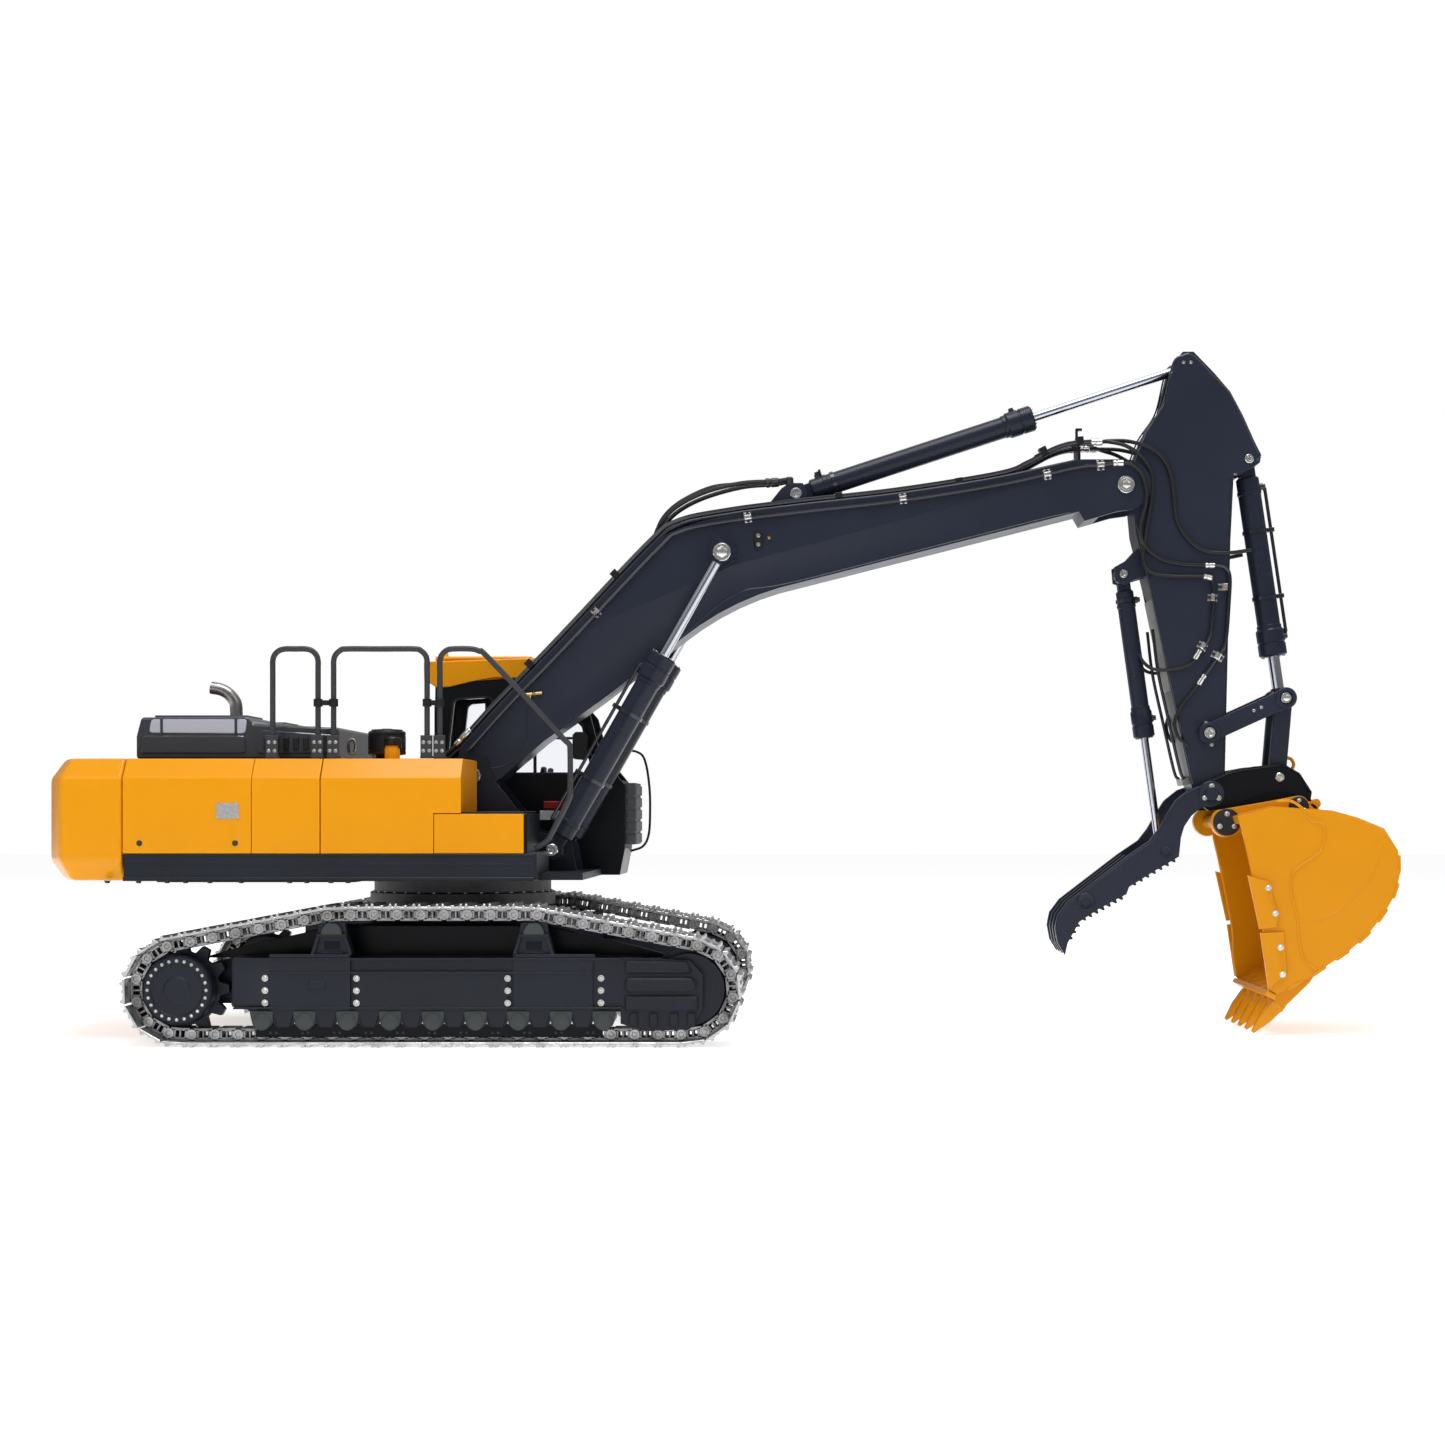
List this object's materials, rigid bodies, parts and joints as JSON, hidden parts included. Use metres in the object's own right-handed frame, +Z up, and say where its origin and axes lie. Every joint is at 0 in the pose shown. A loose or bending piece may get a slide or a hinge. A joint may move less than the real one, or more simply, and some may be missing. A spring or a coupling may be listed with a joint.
{
  "type": "rc excavator",
  "caption": "Radio-controlled crawler excavator with slewing house, boom, arm, hydraulic cylinders, bucket on a quick coupler and an opposing thumb.",
  "frame": {"origin": "centre of the footprint of the whole machine, on the ground under the middle of its box", "axes": "+X from the counterweight towards the bucket, +Y towards the cab side, +Z up"},
  "size_m": [0.9905, 0.289, 0.507],
  "materials": {
    "yellow_paint": "gloss",
    "bucket_paint": "satin",
    "navy_paint": "satin",
    "coupler_black": "satin",
    "hood_gloss": "gloss",
    "black_plastic": "satin",
    "track_steel": "satin",
    "pin_steel": "satin",
    "chrome_rod": "polished",
    "battery_wrap": "gloss"
  },
  "bodies": {
    "undercarriage": {"center_frame": "navy_paint", "slew_ring_lower": "pin_steel", "track_right": "track_steel", "track_left": "track_steel", "track_frame_right": "navy_paint", "track_frame_left": "navy_paint", "roller_set_right": "track_steel", "roller_set_left": "track_steel", "travel_motor_right": "black_plastic", "travel_motor_left": "black_plastic"},
    "house": {"slew_ring_upper": "pin_steel", "deck_frame": "navy_paint", "counterweight": "yellow_paint", "deck_cover": "black_plastic", "tank_right": "yellow_paint", "toolbox_right": "yellow_paint", "side_panel_right": "yellow_paint", "air_precleaner": "black_plastic", "handrail_rear": "black_plastic", "handrail_middle": "black_plastic", "handrail_front": "black_plastic", "cab_shell": "black_plastic", "cab_roof": "yellow_paint", "operator_seat": "black_plastic", "battery_pack": "battery_wrap", "pump_unit": "black_plastic", "boom_foot_pin": "pin_steel"},
    "right_rear_door": {"rear_door_right": "yellow_paint"},
    "left_door": {"door_left": "yellow_paint"},
    "hood": {"engine_hood": "hood_gloss", "exhaust_pipe": "chrome_rod"},
    "cab_door_leaf": {"cab_door": "black_plastic"},
    "boom_body": {"boom": "navy_paint", "arm_pivot_pin": "pin_steel"},
    "arm_body": {"arm": "navy_paint", "arm_tip_pin": "pin_steel"},
    "bucket_body": {"quick_coupler": "coupler_black", "bucket": "bucket_paint", "bucket_teeth": "bucket_paint"},
    "thumb_body": {"thumb": "navy_paint"},
    "rocker_body": {"rocker_link": "navy_paint"},
    "h_link_body": {"h_link": "navy_paint"},
    "sprocket_body_right": {"sprocket_right": "navy_paint"},
    "idler_body_right": {"idler_right": "navy_paint"},
    "carrier_front_body_right": {"carrier_roller_front_right": "track_steel"},
    "carrier_rear_body_right": {"carrier_roller_rear_right": "track_steel"},
    "boom_barrel_body_right": {"boom_cylinder_right_barrel": "navy_paint"},
    "boom_rod_body_right": {"boom_cylinder_right_rod": "chrome_rod"},
    "sprocket_body_left": {"sprocket_left": "navy_paint"},
    "idler_body_left": {"idler_left": "navy_paint"},
    "carrier_front_body_left": {"carrier_roller_front_left": "track_steel"},
    "carrier_rear_body_left": {"carrier_roller_rear_left": "track_steel"},
    "boom_barrel_body_left": {"boom_cylinder_left_barrel": "navy_paint"},
    "boom_rod_body_left": {"boom_cylinder_left_rod": "chrome_rod"},
    "arm_barrel_body": {"arm_cylinder_barrel": "navy_paint"},
    "arm_rod_body": {"arm_cylinder_rod": "chrome_rod"},
    "bucket_barrel_body": {"bucket_cylinder_barrel": "navy_paint"},
    "bucket_rod_body": {"bucket_cylinder_rod": "chrome_rod"},
    "thumb_barrel_body": {"thumb_cylinder_barrel": "navy_paint"},
    "thumb_rod_body": {"thumb_cylinder_rod": "chrome_rod"}
  },
  "joints": [
    {"name": "slew", "type": "hinge", "parent": "undercarriage", "child": "house", "pos_m": [-0.1952, 0, 0.104], "axis": [0, 0, 1], "continuous": true},
    {"name": "boom_lift", "type": "hinge", "parent": "house", "child": "boom_body", "pos_m": [-0.1842, 0, 0.19], "axis": [0, -1, 0], "range_deg": [-40, 30]},
    {"name": "arm_swing", "type": "hinge", "parent": "boom_body", "child": "arm_body", "pos_m": [0.3018, 0, 0.407], "axis": [0, -1, 0], "range_deg": [-35, 40]},
    {"name": "bucket_curl", "type": "hinge", "parent": "arm_body", "child": "bucket_body", "pos_m": [0.3638, 0, 0.1765], "axis": [0, -1, 0], "range_deg": [-50, 25]},
    {"name": "thumb_close", "type": "hinge", "parent": "arm_body", "child": "thumb_body", "pos_m": [0.3638, 0, 0.1765], "axis": [0, -1, 0], "range_deg": [-30, 30]},
    {"name": "rocker_turn", "type": "hinge", "parent": "arm_body", "child": "rocker_body", "pos_m": [0.3638, 0, 0.222], "axis": [0, -1, 0], "range_deg": [-45, 23]},
    {"name": "h_link_turn", "type": "hinge", "parent": "bucket_body", "child": "h_link_body", "pos_m": [0.4158, 0, 0.189], "axis": [0, -1, 0], "range_deg": [-20, 40]},
    {"name": "boom_barrel_right", "type": "hinge", "parent": "house", "child": "boom_barrel_body_right", "pos_m": [-0.1237, -0.035, 0.135], "axis": [0, -1, 0], "range_deg": [-39, 29.5]},
    {"name": "boom_rod_right", "type": "slide", "parent": "boom_barrel_body_right", "child": "boom_rod_body_right", "axis": [0.4949, 0, 0.869], "range_m": [-0.055, 0.042]},
    {"name": "boom_barrel_left", "type": "hinge", "parent": "house", "child": "boom_barrel_body_left", "pos_m": [-0.1237, 0.035, 0.135], "axis": [0, -1, 0], "range_deg": [-39, 29.5]},
    {"name": "boom_rod_left", "type": "slide", "parent": "boom_barrel_body_left", "child": "boom_rod_body_left", "axis": [0.4949, 0, 0.869], "range_m": [-0.055, 0.042]},
    {"name": "arm_barrel", "type": "hinge", "parent": "boom_body", "child": "arm_barrel_body", "pos_m": [0.0558, 0, 0.402], "axis": [0, -1, 0], "range_deg": [-8.5, 9.5]},
    {"name": "arm_rod", "type": "slide", "parent": "arm_barrel_body", "child": "arm_rod_body", "axis": [0.9501, 0, 0.3118], "range_m": [-0.051, 0.045]},
    {"name": "bucket_barrel", "type": "hinge", "parent": "arm_body", "child": "bucket_barrel_body", "pos_m": [0.3943, 0, 0.427], "axis": [0, -1, 0], "range_deg": [-1, 0.5]},
    {"name": "bucket_rod", "type": "slide", "parent": "bucket_barrel_body", "child": "bucket_rod_body", "axis": [0.1464, 0, -0.9892], "range_m": [-0.024, 0.048]},
    {"name": "thumb_barrel", "type": "hinge", "parent": "arm_body", "child": "thumb_barrel_body", "pos_m": [0.3018, 0, 0.342], "axis": [0, -1, 0], "range_deg": [-6, 6]},
    {"name": "thumb_rod", "type": "slide", "parent": "thumb_barrel_body", "child": "thumb_rod_body", "axis": [0.1354, 0, -0.9908], "range_m": [-0.019, 0.019]},
    {"name": "sprocket_right_spin", "type": "hinge", "parent": "undercarriage", "child": "sprocket_body_right", "pos_m": [-0.3722, -0.1215, 0.0393], "axis": [0, 1, 0], "continuous": true},
    {"name": "idler_right_spin", "type": "hinge", "parent": "undercarriage", "child": "idler_body_right", "pos_m": [-0.0182, -0.1215, 0.0393], "axis": [0, 1, 0], "continuous": true},
    {"name": "carrier_front_right_spin", "type": "hinge", "parent": "undercarriage", "child": "carrier_front_body_right", "pos_m": [-0.1252, -0.1215, 0.0795], "axis": [0, 1, 0], "continuous": true},
    {"name": "carrier_rear_right_spin", "type": "hinge", "parent": "undercarriage", "child": "carrier_rear_body_right", "pos_m": [-0.2652, -0.1215, 0.0795], "axis": [0, 1, 0], "continuous": true},
    {"name": "sprocket_left_spin", "type": "hinge", "parent": "undercarriage", "child": "sprocket_body_left", "pos_m": [-0.3722, 0.1215, 0.0393], "axis": [0, 1, 0], "continuous": true},
    {"name": "idler_left_spin", "type": "hinge", "parent": "undercarriage", "child": "idler_body_left", "pos_m": [-0.0182, 0.1215, 0.0393], "axis": [0, 1, 0], "continuous": true},
    {"name": "carrier_front_left_spin", "type": "hinge", "parent": "undercarriage", "child": "carrier_front_body_left", "pos_m": [-0.1252, 0.1215, 0.0795], "axis": [0, 1, 0], "continuous": true},
    {"name": "carrier_rear_left_spin", "type": "hinge", "parent": "undercarriage", "child": "carrier_rear_body_left", "pos_m": [-0.2652, 0.1215, 0.0795], "axis": [0, 1, 0], "continuous": true},
    {"name": "rear_door_right_lift", "type": "hinge", "parent": "house", "child": "right_rear_door", "pos_m": [-0.3702, -0.096, 0.2005], "axis": [-1, 0, 0], "range_deg": [0, 80]},
    {"name": "left_door_lift", "type": "hinge", "parent": "house", "child": "left_door", "pos_m": [-0.3232, 0.096, 0.2005], "axis": [1, 0, 0], "range_deg": [0, 80]},
    {"name": "hood_lift", "type": "hinge", "parent": "house", "child": "hood", "pos_m": [-0.4147, 0, 0.2008], "axis": [0, -1, 0], "range_deg": [0, 60]},
    {"name": "cab_door_swing", "type": "hinge", "parent": "house", "child": "cab_door_leaf", "pos_m": [-0.1962, 0.1213, 0.19], "axis": [0, 0, 1], "range_deg": [0, 85]}
  ],
  "couplings": [
    {"joint": "rocker_turn", "follows": "bucket_curl", "ratio": 0.87},
    {"joint": "h_link_turn", "follows": "bucket_curl", "ratio": -0.78},
    {"joint": "boom_barrel_right", "follows": "boom_lift", "ratio": 0.957},
    {"joint": "boom_rod_right", "follows": "boom_lift", "m_per_rad": 0.0769},
    {"joint": "boom_barrel_left", "follows": "boom_lift", "ratio": 0.957},
    {"joint": "boom_rod_left", "follows": "boom_lift", "m_per_rad": 0.0769},
    {"joint": "arm_barrel", "follows": "arm_swing", "ratio": 0.221},
    {"joint": "arm_rod", "follows": "arm_swing", "m_per_rad": -0.0714},
    {"joint": "bucket_barrel", "follows": "bucket_curl", "ratio": 0.011},
    {"joint": "bucket_rod", "follows": "bucket_curl", "m_per_rad": -0.0531},
    {"joint": "thumb_barrel", "follows": "thumb_close", "ratio": 0.185},
    {"joint": "thumb_rod", "follows": "thumb_close", "m_per_rad": 0.0348},
    {"joint": "idler_right_spin", "follows": "sprocket_right_spin", "ratio": 1},
    {"joint": "carrier_front_right_spin", "follows": "sprocket_right_spin", "ratio": 5},
    {"joint": "carrier_rear_right_spin", "follows": "sprocket_right_spin", "ratio": 5},
    {"joint": "idler_left_spin", "follows": "sprocket_left_spin", "ratio": 1},
    {"joint": "carrier_front_left_spin", "follows": "sprocket_left_spin", "ratio": 5},
    {"joint": "carrier_rear_left_spin", "follows": "sprocket_left_spin", "ratio": 5}
  ]
}
